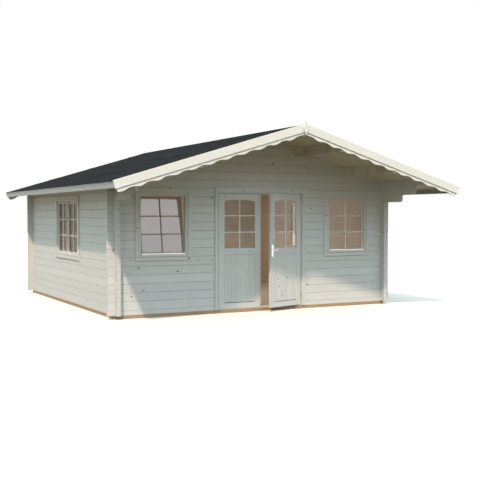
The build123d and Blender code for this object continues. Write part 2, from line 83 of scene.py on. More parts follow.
# The roof
SLOPE = 0.3
PITCH = atan(SLOPE)
BOARD = 0.019
ROOF_BOARD = 0.096
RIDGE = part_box("ridge_purlin")[1].z
ROOF_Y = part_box("roof_felt_left")[1].y
ROOF_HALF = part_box("front_barge_board_right")[1].x
BARGE_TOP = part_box("front_barge_board_right")[1].z
SLOPE_LENGTH = ROOF_HALF / cos(PITCH)
UNDER = (BARGE_TOP - RIDGE) * cos(PITCH)
BOARD_END = SLOPE_LENGTH - 0.026

# What boards that meet are kept apart by, on each side
HAIR = 0.0004


def roof_height(x, above=0.0):
    """Height over the ground of a point square above the underside of the roof boards."""
    return RIDGE - SLOPE * abs(x) + above / cos(PITCH)


def on_slope(sign, along, above):
    """A point (x, z) along a slope from the ridge, square above the underside of its boards."""
    down = UNDER - above
    x = along * cos(PITCH) - down * sin(PITCH)
    return sign * x, BARGE_TOP - along * sin(PITCH) - down * cos(PITCH)


class Tree:
    """A procedural material and short calls that add nodes to it."""

    def __init__(self, name):
        self.material = bpy.data.materials.new(name)
        self.material.use_nodes = True
        self.nodes = self.material.node_tree.nodes
        self.links = self.material.node_tree.links
        self.shader = self.nodes["Principled BSDF"]
        self.output = self.nodes["Material Output"]

    def put(self, socket, value):
        if isinstance(value, bpy.types.NodeSocket):
            self.links.new(value, socket)
        elif hasattr(value, "__len__") and len(value) == 3 and len(socket.default_value) == 4:
            socket.default_value = (*value, 1)
        else:
            socket.default_value = value

    def node(self, kind, inputs=None, **settings):
        made = self.nodes.new("ShaderNode" + kind)
        for key, value in settings.items():
            setattr(made, key, value)
        for key, value in (inputs or {}).items():
            self.put(made.inputs[key], value)
        return made

    def math(self, operation, *values):
        return self.node("Math", dict(enumerate(values)), operation=operation).outputs[0]

    def times(self, first, second):
        return self.math("MULTIPLY", first, second)

    def plus(self, first, second):
        return self.math("ADD", first, second)

    def minus(self, first, second):
        return self.math("SUBTRACT", first, second)

    def clamp(self, value, low, high, to_low=0.0, to_high=1.0):
        """A smooth step from one value to another, level beyond both ends."""
        keys = ("Value", "From Min", "From Max", "To Min", "To Max")
        made = self.node("MapRange", dict(zip(keys, (value, low, high, to_low, to_high))))
        made.interpolation_type = "SMOOTHSTEP"
        return made.outputs[0]

    def mix(self, share, first, second, blend="MIX"):
        made = self.node("Mix", data_type="RGBA", blend_type=blend)
        sockets = (made.inputs[0], made.inputs[6], made.inputs[7])
        for socket, value in zip(sockets, (share, first, second)):
            self.put(socket, value)
        return made.outputs[2]

    def noise(self, place, scale, detail=3.0, roughness=0.55):
        inputs = {"Vector": place, "Scale": scale, "Detail": detail, "Roughness": roughness}
        return self.node("TexNoise", inputs).outputs[0]

    def streaks(self, u, v, w, scales, detail, roughness):
        """Noise drawn out along u: the scales are the one along it and the one across."""
        along, across = scales
        place = self.vector(self.times(u, along), self.times(v, across), self.times(w, across))
        return self.noise(place, 1.0, detail, roughness)

    def vector(self, x, y, z):
        return self.node("CombineXYZ", {0: x, 1: y, 2: z}).outputs[0]

    def vectors(self, operation, first, second):
        return self.node("VectorMath", {0: first, 1: second}, operation=operation).outputs[0]

    def length(self, vector):
        return self.node("VectorMath", {0: vector}, operation="LENGTH").outputs["Value"]

    def place(self):
        """The place on the piece in the row frame, as a vector and its three parts."""
        spot = self.node("TexCoord").outputs["Object"]
        return spot, dict(zip("xyz", self.node("SeparateXYZ", {0: spot}).outputs))

    def dull(self, color, roughness, bump=None, height=0.001, strength=0.5, **sockets):
        """Set the surface. Constants go straight onto the shader's own sockets."""
        self.put(self.shader.inputs["Base Color"], color)
        self.put(self.shader.inputs["Roughness"], roughness)
        for key, value in sockets.items():
            self.put(self.shader.inputs[key.replace("_", " ")], value)
        if bump is not None:
            made = self.node("Bump", {"Strength": strength, "Distance": height, "Height": bump})
            self.links.new(made.outputs[0], self.shader.inputs["Normal"])
        return self.material


# Colours of the wood, each where the grain is light and where it is dark
STAIN = ((0.665, 0.668, 0.635), (0.50, 0.50, 0.44))
CREAM = ((0.705, 0.70, 0.645), (0.62, 0.58, 0.475))
BARE = ((0.60, 0.50, 0.385), (0.43, 0.335, 0.235))
TREATED = ((0.425, 0.295, 0.18), (0.22, 0.145, 0.085))
KNOT = (0.115, 0.065, 0.035)
WARM = (0.62, 0.50, 0.33)
JOINT_SHADE = (0.10, 0.09, 0.07)
# Painted shade for the foot of a door panel, where it meets the rail
PANEL_FOOT_SHADE = (0.05, 0.05, 0.045)

# Scales of the wood's patterns, along and across the grain, and its slide from board to board
FIBRES = (5.0, 230.0)
WORN_PATCHES = (1.6, 5.0)
YEAR_RINGS = 420.0
RING_WAVER = 34.0
END_RINGS = 1500.0
BOARD_SLIDE = 41.0

# Knots lie in cells of this length, with radii between these two
KNOT_CELL = 0.42
KNOT_RADII = (0.004, 0.011)

# How far behind the wall's face the stain stops in a window, and the slack at the room's faces
SASH_BACK = 0.054
SKIN = 0.0006


def wood(
    name, light, dark, along, across, pitch, start=0.0, knots=0.4, joint=0.0, bare=None, wear=0.10,
    vary=0.025, shaded_foot=None, rails=None,
):
    """Planed softwood: boards with their own tone, long grain, knots, end grain and closed joints.

    The word in bare says where the stain stops and the same wood is left bare. The height of a
    panel's foot, when given, marks where painted shade darkens the boards just above it. What is
    in rails turns the grain of a door leaf between its stiles: its hinge, the way it runs from
    there, and that part's middle and half.
    """
    t = Tree(name)
    part = t.place()[1]
    depth = ({"x", "y", "z"} - {along, across}).pop()
    u, v, w = part[along], part[across], part[depth]
    if rails:
        hinge, way, middle, half = rails
        from_x = t.times(t.minus(part["x"], hinge[0]), way[0])
        from_y = t.times(t.minus(part["y"], hinge[1]), way[1])
        run = t.plus(from_x, from_y)
        on_rail = t.math("LESS_THAN", t.math("ABSOLUTE", t.minus(run, middle)), half)
        u = t.plus(part["z"], t.times(on_rail, t.minus(run, part["z"])))
        v = t.plus(run, t.times(on_rail, t.minus(part["z"], run)))
    turns = t.math("DIVIDE", t.minus(v, start), pitch)
    board = t.math("FLOOR", turns)
    side = t.math("SIGN", w)
    own = t.node("TexWhiteNoise", {"Vector": t.vector(board, side, 3.0)}, noise_dimensions="3D")
    chance = own.outputs["Value"]
    slid = t.plus(u, t.times(chance, BOARD_SLIDE))
    fine = t.streaks(slid, v, w, FIBRES, 4.0, 0.6)
    waver = t.noise(t.vector(t.times(slid, 1.1), t.times(v, 7.0), w), 1.0, 2.0, 0.5)
    rings = t.plus(t.times(v, YEAR_RINGS), t.times(waver, RING_WAVER))
    figure = t.math("MULTIPLY_ADD", t.math("SINE", rings), 0.5, 0.5)
    figure = t.math("POWER", figure, 2.5)
    grain = t.plus(t.times(figure, 0.32), t.times(fine, 0.80))
    color = t.mix(t.clamp(grain, 0.25, 1.0), light, dark)

    # Each board is a little lighter, darker or warmer than the next
    tone = t.clamp(chance, 0.0, 1.0, 1 - vary, 1 + vary)
    warm = t.node("SeparateColor", {0: own.outputs["Color"]}).outputs[1]
    color = t.mix(1.0, color, t.vector(tone, tone, tone), "MULTIPLY")
    color = t.mix(t.times(warm, vary * 2), color, WARM)

    # Patches where the surface has worn thinner or taken up more
    patch = t.streaks(slid, v, w, WORN_PATCHES, 5.0, 0.65)
    color = t.mix(t.clamp(patch, 0.56, 0.80, 0.0, wear * 2), color, dark)

    # Knots, each in its own cell of the board, with a dark core and a stained ring round it
    scaled = t.vector(t.math("DIVIDE", slid, KNOT_CELL), turns, 0.0)
    spread = {"Vector": scaled, "Scale": 1.0, "Randomness": 0.8}
    cells = t.node("TexVoronoi", spread, voronoi_dimensions="2D")
    gap = t.vectors("SUBTRACT", scaled, cells.outputs["Position"])
    apart = t.length(t.vectors("MULTIPLY", gap, (KNOT_CELL * 0.72, pitch, 0.0)))
    lot = t.node("SeparateColor", {0: cells.outputs["Color"]}).outputs
    radius = t.clamp(lot[0], 0.0, 1.0, *KNOT_RADII)
    ratio = t.math("DIVIDE", apart, radius)
    ratio = t.plus(ratio, t.times(t.minus(fine, 0.5), 0.5))
    shown = t.math("LESS_THAN", lot[1], knots)
    core = t.times(t.clamp(ratio, 0.75, 1.15, 1.0, 0.0), shown)
    halo = t.times(t.clamp(ratio, 1.0, 3.4, 0.35, 0.0), shown)
    color = t.mix(halo, color, dark)
    color = t.mix(t.times(core, 0.78), color, KNOT)

    # Cut ends show year rings
    normal = t.node("SeparateXYZ", {0: t.node("TexCoord").outputs["Normal"]})
    lengthwise = t.math("ABSOLUTE", normal.outputs["xyz".index(along)])
    end = t.math("GREATER_THAN", lengthwise, 0.75)
    inner = t.minus(turns, board)
    pith = t.vector(t.times(t.minus(inner, 0.4), pitch), t.plus(w, 0.02), 0.0)
    ring = t.math("SINE", t.plus(t.times(t.length(pith), END_RINGS), t.times(fine, 2.0)))
    tip = t.mix(t.math("MULTIPLY_ADD", ring, 0.3, 0.4), light, dark)
    color = t.mix(end, color, tip)

    relief = t.times(t.plus(grain, t.times(core, 0.8)), -1.0)
    if bare:
        x_far, y = t.math("ABSOLUTE", part["x"]), part["y"]
        if bare == "room":
            inside = t.math("LESS_THAN", x_far, ROOM_HALF + SKIN)
            inside = t.times(inside, t.math("GREATER_THAN", y, FRONT_Y + LOG - SKIN))
            inside = t.times(inside, t.math("LESS_THAN", y, BACK_Y - LOG + SKIN))
        elif bare == "behind":
            inside = t.math("GREATER_THAN", y, FRONT_Y + SASH_BACK)
        else:
            inside = t.math("LESS_THAN", x_far, WALL_HALF - SASH_BACK)
        plain = t.mix(t.clamp(grain, 0.25, 1.0), *BARE)
        plain = t.mix(t.times(core, 0.8), plain, KNOT)
        color = t.mix(inside, color, plain)
    if joint:
        edge = t.times(t.math("MINIMUM", inner, t.minus(1.0, inner)), pitch)
        line = t.clamp(edge, joint * 0.35, joint, 1.0, 0.0)
        color = t.mix(t.times(line, 0.42), color, JOINT_SHADE)
        relief = t.minus(relief, t.times(line, 2.0))
    # Painted shade along the foot of a door panel, darker where the boards meet the rail
    if shaded_foot:
        foot = t.clamp(part["z"], shaded_foot + 0.009, shaded_foot + 0.016, 1.0, 0.0)
        color = t.mix(t.times(foot, 0.9), color, PANEL_FOOT_SHADE)
    rough = t.clamp(grain, 0.2, 1.0, 0.52, 0.74)
    return t.dull(color, rough, relief, 0.0012, 0.45, Specular_IOR_Level=0.35)


def felt_material():
    """Roofing felt with mineral grit, faint bands along the rolls and paler worn places."""
    t = Tree("mineral_felt")
    spot, part = t.place()
    grit = t.noise(spot, 900.0, 2.0, 0.7)
    along_rolls = t.vector(t.times(part["x"], 9.0), t.times(part["y"], 0.55), part["z"])
    band = t.noise(along_rolls, 1.0, 5.0, 0.6)
    worn = t.noise(spot, 1.7, 5.0, 0.6)
    share = t.plus(t.times(grit, 0.45), t.times(t.clamp(band, 0.3, 0.75), 0.55))
    color = t.mix(share, (0.002, 0.0038, 0.0047), (0.010, 0.0150, 0.0175))
    color = t.mix(t.clamp(worn, 0.55, 0.8, 0.0, 0.3), color, (0.024, 0.027, 0.030))
    rough = t.clamp(grit, 0.3, 0.7, 0.78, 0.97)
    relief = t.plus(grit, t.times(worn, 2.0))
    return t.dull(color, rough, relief, 0.0015, 0.6, Specular_IOR_Level=0.05)


def metal_material(name, light, dark, rough_low, rough_high, grain_scale):
    """Brushed or plated metal with fine scratches, duller where it has tarnished."""
    t = Tree(name)
    spot, part = t.place()
    drawn = t.vector(part["x"], part["y"], t.times(part["z"], 14.0))
    brush = t.noise(drawn, grain_scale, 3.0, 0.6)
    cloud = t.noise(spot, 60.0, 4.0, 0.6)
    color = t.mix(t.clamp(cloud, 0.35, 0.75), light, dark)
    rough = t.clamp(brush, 0.25, 0.75, rough_low, rough_high)
    return t.dull(color, rough, brush, 0.0001, 0.25, Metallic=1.0)


def glass_material(name, index, tint, dim):
    """Panes in a tint, dimmer where a little dust lies, with light passing straight through."""
    t = Tree(name)
    spot = t.place()[0]
    dust = t.noise(spot, 7.0, 5.0, 0.6)
    rough = t.clamp(dust, 0.45, 0.8, 0.0, 0.06)
    color = t.mix(t.clamp(dust, 0.4, 0.8), tint, dim)
    t.dull(color, rough, t.noise(spot, 3.0, 1.0), 0.0004, 0.12, Transmission_Weight=1.0, IOR=index)
    clear = t.node("BsdfTransparent", {"Color": (0.93, 0.95, 0.94)})
    shadow = t.node("LightPath").outputs["Is Shadow Ray"]
    both = t.node("MixShader", {0: shadow, 1: t.shader.outputs[0], 2: clear.outputs[0]})
    t.links.new(both.outputs[0], t.output.inputs["Surface"])
    return t.material


def knot_material():
    """The dark, flecked end of a branch that shows through the stain."""
    t = Tree("knot_wood")
    spot = t.place()[0]
    fleck = t.noise(spot, 420.0, 3.0, 0.6)
    cloud = t.noise(spot, 90.0, 2.0, 0.5)
    color = t.mix(t.clamp(fleck, 0.3, 0.7), (0.030, 0.022, 0.015), (0.085, 0.062, 0.042))
    color = t.mix(t.clamp(cloud, 0.5, 0.75, 0.0, 0.5), color, (0.13, 0.105, 0.08))
    return t.dull(color, t.clamp(fleck, 0.3, 0.7, 0.5, 0.7), fleck, 0.0004, 0.4)


# Joinery has no joints in its faces, so its tone changes only at this pitch
JOINERY = 0.5
WALL_JOINT = 0.0036
HALF_UP = BASE + COURSE / 2
front_logs = wood("stained_front_logs", *STAIN, "x", "z", COURSE, HALF_UP, 0.0, WALL_JOINT, "room")
back_logs = wood("stained_back_logs", *STAIN, "x", "z", COURSE, HALF_UP, 0.22, WALL_JOINT, "room")
left_logs = wood("stained_left_logs", *STAIN, "y", "z", COURSE, BASE, 0.0, WALL_JOINT, "room")
right_logs = wood("stained_right_logs", *STAIN, "y", "z", COURSE, BASE, 0.22, WALL_JOINT, "room")
trim_x = wood("stained_trim_across", *STAIN, "x", "z", JOINERY, knots=0.0)
trim_z = wood("stained_trim_upright", *STAIN, "z", "x", JOINERY, knots=0.0)
trim_zy = wood("stained_trim_side_upright", *STAIN, "z", "y", JOINERY, knots=0.2)
lining_x = wood("front_window_lining", *STAIN, "x", "z", JOINERY, knots=0.0, bare="behind")
lining_y = wood("side_window_lining", *STAIN, "z", "y", JOINERY, knots=0.0, bare="within")
# The tilted sash and its bars are bare wood made darker than BARE: painted shade for the shade they
# hang in
tilted_sash_shaded_wood = wood(
    "bare_sash_wood_painted_shade", (0.40, 0.34, 0.245), (0.27, 0.21, 0.135), "x", "z", JOINERY, knots=0.0
)
panel_wood = wood(
    "door_panel_boards", *STAIN, "z", "x", PANEL_STEP, PANEL_STEP / 2, 0.0, vary=0.035, shaded_foot=PANEL_LOW
)
BETWEEN_STILES = (LEAF_HALF + HINGE_GAP, PANEL_HALF)
left_rails = ((DOORWAY - HINGE_X, HINGE_Y), (1.0, 0.0), *BETWEEN_STILES)
right_rails = ((DOORWAY + HINGE_X, HINGE_Y), (-cos(OPENED), -sin(OPENED)), *BETWEEN_STILES)
left_leaf_wood = wood("left_leaf_frame", *STAIN, "z", "x", JOINERY, knots=0.0, rails=left_rails)
right_leaf_wood = wood("right_leaf_frame", *STAIN, "z", "x", JOINERY, knots=0.0, rails=right_rails)
bar_wood = wood(
    "glazing_bar_paint", (0.78, 0.77, 0.69), (0.62, 0.59, 0.49), "z", "x", JOINERY, knots=0.0
)
cream = wood("cream_boards", *CREAM, "x", "z", JOINERY, knots=0.0, wear=0.05)
# The fascia's stain is darker and bluer than the walls': painted shade for the roof's edge above it
fascia_painted_shade_wood = wood(
    "fascia_stain_and_painted_shade", (0.47, 0.50, 0.485), (0.36, 0.375, 0.34), "y", "z", JOINERY, knots=0.2
)
purlin_wood = wood(
    "stained_purlins", (0.60, 0.575, 0.46), (0.46, 0.43, 0.32), "y", "x", 0.35, 0.17, 0.2
)
soffit_wood = wood(
    "roof_boards_wood", (0.62, 0.585, 0.45), (0.48, 0.44, 0.31), "x", "y", ROOF_BOARD, ROOF_Y, 0.3,
    vary=0.05,
)
floor_wood = wood("bare_floor_boards", *BARE, "y", "x", FLOOR_BOARD, vary=0.08)
bare_x = wood("bare_wood_across", *BARE, "x", "z", 0.4, knots=0.0)
bare_y = wood("bare_wood_deep", *BARE, "y", "z", 0.4, knots=0.0)
bearer_x = wood("treated_timber_across", *TREATED, "x", "z", 0.3, knots=0.5, wear=0.3)
bearer_y = wood(
    "treated_timber_deep", *TREATED, "y", "z", 0.2, BASE / 2, 0.4, 0.012, wear=0.3, vary=0.08
)
felt = felt_material()
zinc = metal_material("zinc_plated_steel", (0.56, 0.56, 0.55), (0.36, 0.35, 0.33), 0.32, 0.5, 240.0)
strip = metal_material("weather_bar_metal", (0.86, 0.86, 0.84), (0.74, 0.74, 0.72), 0.4, 0.55, 120.0)
satin = metal_material("satin_handle_metal", (0.88, 0.88, 0.86), (0.72, 0.72, 0.70), 0.2, 0.34, 400.0)
glass = glass_material("window_glass", 1.45, (0.78, 0.76, 0.72), (0.70, 0.69, 0.66))
sky_glass = glass_material("tilted_window_glass", 2.75, (0.46, 0.50, 0.58), (0.42, 0.46, 0.53))
side_glass = glass_material("side_window_glass", 1.12, (0.43, 0.395, 0.34), (0.38, 0.35, 0.30))
knot_wood = knot_material()


def loft(rows, width):
    """Faces of a closed outline of so many points carried through rows of it, with shut ends."""
    last = (rows - 1) * width
    faces = [tuple(range(width))[::-1], tuple(range(last, last + width))]
    for start in range(0, last, width):
        for k in range(width):
            a, b = start + k, start + (k + 1) % width
            faces.append((a, b, b + width, a + width))
    return faces


def carrier(name, data):
    """An object that puts a mesh, a light or a camera into the scene."""
    made = bpy.data.objects.new(name, data)
    bpy.context.scene.collection.objects.link(made)
    return made


def facing(faces, ahead):
    """The faces as they are, or turned over where ahead is false."""
    return faces if ahead else [f[::-1] for f in faces]


class Piece:
    """One mesh in the row frame, gathered from many solids, which rides on a body."""

    def __init__(self, name, slot, *materials, body="cottage"):
        self.name, self.body, self.slot = name, body, slot
        self.materials = materials
        self.points, self.faces, self.tags = [], [], []

    def add(self, points, faces, matrix=None, tag=0):
        first = len(self.points)
        if matrix is not None:
            points = [matrix @ Vector(p) for p in points]
            faces = facing(faces, matrix.determinant() > 0)
        self.points += [tuple(p) for p in points]
        self.faces += [tuple(i + first for i in f) for f in faces]
        self.tags += [tag] * len(faces)

    def prism(self, corners, low, high, matrix=None):
        """A closed outline, anticlockwise in the first two axes, drawn along the third."""
        points = [(a, b, c) for c in (low, high) for a, b in corners]
        self.add(points, loft(2, len(corners)), matrix)

    def box(self, low, high, chamfer, matrix=None, tag=0):
        """A board with its twelve edges eased."""
        c = min(chamfer, *[(b - a) * 0.3 for a, b in zip(low, high)])
        points, index = [], {}
        for k in range(3):
            for corner in range(8):
                p = []
                for axis in range(3):
                    outer = high[axis] if corner >> axis & 1 else low[axis]
                    inward = -c if corner >> axis & 1 else c
                    p.append(outer if axis == k else outer + inward)
                index[corner, k] = len(points)
                points.append(tuple(p))
        faces = []
        for k in range(3):
            i, j = (k + 1) % 3, (k + 2) % 3
            for end in (0, 1):
                base = end << k
                ring = [base, base | 1 << i, base | 1 << i | 1 << j, base | 1 << j]
                quad = tuple(index[corner, k] for corner in ring)
                faces.append(quad if end else quad[::-1])
            for a in (0, 1):
                for b in (0, 1):
                    base = a << i | b << j
                    beyond = base | 1 << k
                    quad = (index[base, i], index[beyond, i], index[beyond, j], index[base, j])
                    faces.append(quad if a == b else quad[::-1])
        for corner in range(8):
            tri = tuple(index[corner, k] for k in range(3))
            odd = bin(corner).count("1") % 2
            faces.append(tri if odd else tri[::-1])
        self.add(points, faces, matrix, tag)

    def dome(self, center, normal, radius, height, sides, matrix=None):
        """A low round head, such as a nail's or a screw's."""
        turn = Vector(normal).normalized().to_track_quat("Z", "Y").to_matrix().to_4x4()
        points = []
        for share, rise in ((1.0, -0.3), (1.0, 0.35), (0.62, 1.0)):
            for i in range(sides):
                a = 2 * pi * i / sides
                points.append((radius * share * cos(a), radius * share * sin(a), height * rise))
        placed = Matrix.Translation(center) @ turn
        self.add(points, loft(3, sides), placed if matrix is None else matrix @ placed)

    def make(self, *replaced, smooth=None):
        mesh = bpy.data.meshes.new(self.name)
        mesh.from_pydata(self.points, [], self.faces)
        mesh.validate()
        for material in self.materials:
            mesh.materials.append(material)
        for face, tag in zip(mesh.polygons, self.tags):
            face.material_index = tag
        made = carrier(self.name, mesh)
        if smooth is not None:
            for face in mesh.polygons:
                face.use_smooth = True
            mesh.set_sharp_from_angle(angle=radians(smooth))
        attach(made, self.body)
        if replaced:
            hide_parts(*replaced)


def dress(names, material, bevel=0.0):
    """Give CAD nodes their material, and ease their hard edges."""
    for name in names:
        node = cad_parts[name]
        node.data.materials.clear()
        node.data.materials.append(material)
        if bevel:
            weld = node.modifiers.new("weld", "WELD")
            weld.merge_threshold = 0.0001
            ease = node.modifiers.new("eased_edges", "BEVEL")
            ease.width = bevel
            ease.segments = 2
            ease.limit_method = "ANGLE"
            ease.angle_limit = radians(35)


BROAD, FINE = 0.003, 0.002
dress(["front_wall_left", "front_wall_right", "front_gable"], front_logs)
dress(["back_wall"], back_logs)
dress(["left_wall"], left_logs)
dress(["right_wall"], right_logs)
dress(["cross_bearers", "floor_joists"], bearer_x, BROAD)
dress(["side_bearers"], bearer_y, BROAD)
dress(["ridge_purlin", "side_purlins"], purlin_wood, BROAD)
dress(["eave_fascias"], fascia_painted_shade_wood, FINE)
for end in ("front", "rear"):
    for word in ("left", "right"):
        dress([f"{end}_barge_board_{word}"], cream, BROAD)
        dress([f"{end}_scallop_board_{word}"], cream, FINE)
dress(["finials"], cream, BROAD)
dress(["door_frame"], trim_z, FINE)
dress(["left_door_leaf"], left_leaf_wood, FINE)
dress(["right_door_leaf"], right_leaf_wood, FINE)
dress(["frame_hinges", "left_leaf_hinges", "right_leaf_hinges"], zinc, 0.0005)
dress(["left_door_glass", "right_door_glass"], glass)
dress(["side_window_glass"], side_glass)
dress(["front_window_frames"], lining_x, FINE)
dress(["side_window_frames"], lining_y, FINE)
dress(["left_front_sash"], tilted_sash_shaded_wood, FINE)
dress(["right_front_sash"], trim_x, FINE)
dress(["side_window_sashes"], trim_zy, FINE)

# Roof boards run from the ridge to the eaves, with V joints on the underside
ROOF_V_WIDE = 0.0045
ROOF_V_DEEP = 0.004
count = round(2 * ROOF_Y / ROOF_BOARD)
step = 2 * ROOF_Y / count
rise = BOARD / cos(PITCH)
for sign, word in ((-1, "left"), (1, "right")):
    boards = Piece(f"roof_boarding_{word}", "roof_wood", soffit_wood)
    for n in range(count):
        y = -ROOF_Y + n * step
        sag = rng.uniform(0.0, 0.0006)
        section = [
            (y + ROOF_V_WIDE, sag),
            (y + step - ROOF_V_WIDE, sag),
            (y + step - HAIR, ROOF_V_DEEP),
            (y + step - HAIR, rise),
            (y + HAIR, rise),
            (y + HAIR, ROOF_V_DEEP),
        ]
        ends = [(0.0, a, roof_height(0.0) + b) for a, b in section]
        for a, b in section:
            x, z = on_slope(sign, BOARD_END, b * cos(PITCH))
            ends.append((x, a, z))
        boards.add(ends, facing(loft(2, len(section)), sign > 0))
    boards.make(f"roof_boards_{word}")

# Felt is laid in rolls along the roof, each lapped over the one below it
SHEET = 0.0036
ROLL = 0.86
LAP = 0.075
FELT_ROWS = 132
FELT_NAIL = (0.005, 0.0014, 8)
NAIL_IN = 0.025
NAIL_STEP = 0.15
NAIL_STRAY = 0.012
laps = [ROOF_HALF - ROLL * n for n in (1, 2, 3)]
profile = [(0.0, SHEET)]
for lap in sorted(laps):
    profile += [
        (lap - LAP - 0.05, SHEET),
        (lap - LAP, 2 * SHEET),
        (lap - 0.003, 2 * SHEET),
        (lap, 2 * SHEET - 0.0012),
        (lap + 0.0005, SHEET),
    ]
profile += [(ROOF_HALF - 0.03, SHEET), (ROOF_HALF - 0.013, SHEET - 0.0006)]
for sign, word in ((-1, "left"), (1, "right")):
    sheet = Piece(f"felt_rolls_{word}", "roof_felt", felt)
    rows = []
    for j in range(FELT_ROWS + 1):
        y = -ROOF_Y + 2 * ROOF_Y * j / FELT_ROWS
        row = []
        for k, (x, up) in enumerate(profile):
            lift = 0.0
            between = 0 < k < len(profile) - 2
            if between and 0 < j < FELT_ROWS:
                lift = rng.uniform(0.0, 0.0008)
            if between and k % 5 in (3, 4, 0):
                x += 0.0018 * sin(y * 2.3 + k) + 0.001 * sin(y * 7.1 + 2 * k)
            row.append((sign * x, y, roof_height(x, BOARD + up + lift)))
        for above in (SHEET - 0.003, 0.0):
            x, z = on_slope(sign, SLOPE_LENGTH, BOARD + above)
            row.append((x, y, z))
        row.append((0.0, y, roof_height(0.0, BOARD)))
        rows.append(row)
    sheet.add(sum(rows, []), facing(loft(len(rows), len(rows[0])), sign > 0))
    sheet.make(f"roof_felt_{word}", smooth=40)

    nails = Piece(f"felt_nails_{word}", "hinge_steel", zinc)
    slope_up = Vector((sign * sin(PITCH), 0, cos(PITCH)))
    for lap in laps:
        x = lap - NAIL_IN
        z = roof_height(x, BOARD + 2 * SHEET + 0.0006)
        y = -ROOF_Y + 0.06
        while y < ROOF_Y - 0.05:
            nails.dome((sign * x, y, z), slope_up, *FELT_NAIL)
            y += NAIL_STEP + rng.uniform(-NAIL_STRAY, NAIL_STRAY)
    nails.make(smooth=50)

# A strip of felt is folded over the ridge
CAP_HALF = 0.16
CAP_ROWS = 66
cap = Piece("ridge_felt_strip", "roof_felt", felt)
cap_side = [CAP_HALF, CAP_HALF * 0.6, 0.03, 0.012]
cap_xs = [-x for x in cap_side] + [0.0] + cap_side[::-1]
rows = []
for j in range(CAP_ROWS + 1):
    y = -ROOF_Y + 2 * ROOF_Y * j / CAP_ROWS
    low, high = [], []
    for x in cap_xs:
        round_off = 0.0022 if x == 0.0 else 0.0
        lift = rng.uniform(0.0, 0.0005)
        low.append((x, y, roof_height(x, BOARD + SHEET + 0.0002) - round_off * 0.5))
        high.append((x, y, roof_height(x, BOARD + 2 * SHEET + lift) - round_off))
    rows.append(low[::-1] + high)
cap.add(sum(rows, []), loft(len(rows), len(rows[0])))
cap.make(smooth=40)

# Floor boards
PLANK_GAP = 0.0003
PLANK_EASE = 0.0014
planks = Piece("floor_planks", "floor_wood", floor_wood)
count = round(2 * ROOM_HALF / FLOOR_BOARD)
step = 2 * ROOM_HALF / count
for n in range(count):
    x = -ROOM_HALF + n * step
    low = (x + PLANK_GAP, FRONT_Y + LOG, BASE)
    high = (x + step - PLANK_GAP, BACK_Y - LOG, FLOOR_TOP)
    planks.box(low, high, PLANK_EASE)
planks.make("floor_boards")

# Windows, each opening two panes wide and three high
PANES_WIDE = 2
PANES_HIGH = 3
BAR = 0.018
BAR_EASE = 0.004
BAR_PROUD = 0.014
BAR_INNER = 0.012
BAR_OFF = 0.0002
BAR_TUCK = 0.001
SASH_BORDER = 0.026
GLASS_IN = 0.02
PANE = 0.004
PANE_EASE = 0.0003
PANE_TUCK = 0.009
MULLION = 0.046

# Lays a section of depth and height across the cottage, so that it runs along X
ALONG_X = Matrix(((0, 0, 1, 0), (1, 0, 0, 0), (0, 1, 0, 0), (0, 0, 0, 1)))


def bars(piece, bare, width, height, matrix, heights=None):
    """Glazing bars on both faces of a pane, over an opening whose middle is the origin.

    X goes to the right, Y into the room from the outer face of the pane, and Z up. The bars of
    piece are outside and those of bare inside, with level ones at these heights or else even.
    """
    half = BAR / 2
    reach_x, reach_z = width / 2 + BAR_TUCK, height / 2 + BAR_TUCK
    heights = heights or [height * n / PANES_HIGH - height / 2 for n in range(1, PANES_HIGH)]
    outside, inside = (-BAR_PROUD, -BAR_OFF), (PANE + BAR_OFF, PANE + BAR_INNER)
    for target, (near, far) in ((piece, outside), (bare, inside)):
        near_ease = BAR_EASE if target is piece else 0.0
        far_ease = BAR_EASE - near_ease
        shown, hidden = (near, far) if target is piece else (far, near)
        eased = shown + near_ease - far_ease
        for n in range(1, PANES_WIDE):
            x = width * n / PANES_WIDE - width / 2
            section = [
                (x - half, hidden),
                (x - half, eased),
                (x - half + BAR_EASE, shown),
                (x + half - BAR_EASE, shown),
                (x + half, eased),
                (x + half, hidden),
            ]
            target.prism(section if target is piece else section[::-1], -reach_z, reach_z, matrix)
        for z in heights:
            section = [
                (near + near_ease, z - half),
                (far - far_ease, z - half),
                (far, z - half + far_ease),
                (far, z + half - far_ease),
                (far - far_ease, z + half),
                (near + near_ease, z + half),
                (near, z + half - near_ease),
                (near, z - half + near_ease),
            ]
            for n in range(PANES_WIDE):
                left = width * n / PANES_WIDE - width / 2 + half - BAR_EASE
                right = width * (n + 1) / PANES_WIDE - width / 2 - half + BAR_EASE
                ends = (-reach_x if n == 0 else left, reach_x if n == PANES_WIDE - 1 else right)
                target.prism(section, *ends, matrix @ ALONG_X)


front_bars = Piece("right_window_bars", "painted_joinery", bar_wood)
tilted_bars = Piece("left_window_bars", "painted_joinery", tilted_sash_shaded_wood)
front_bare = Piece("front_window_inner_bars", "painted_joinery", bare_x)
right_low, right_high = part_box("right_front_sash")
open_width = right_high.x - right_low.x - 2 * SASH_BORDER
open_height = right_high.z - right_low.z - 2 * SASH_BORDER
sash_mid_z = (right_low.z + right_high.z) / 2
sash_mid_x = (right_low.x + right_high.x) / 2
closed = Matrix.Translation((sash_mid_x, right_low.y + GLASS_IN, sash_mid_z))
bars(front_bars, front_bare, open_width, open_height, closed)
tilt_at = Vector((0, right_high.y, right_low.z))
lean = asin((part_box("left_front_sash")[1].y - right_high.y) / (right_high.z - right_low.z))
tilt = Matrix.Translation(tilt_at) @ Matrix.Rotation(-lean, 4, "X") @ Matrix.Translation(-tilt_at)
tilted = tilt @ Matrix.Translation((-sash_mid_x, right_low.y + GLASS_IN, sash_mid_z))
bars(tilted_bars, front_bare, open_width, open_height, tilted)
front_bars.make()
tilted_bars.make()
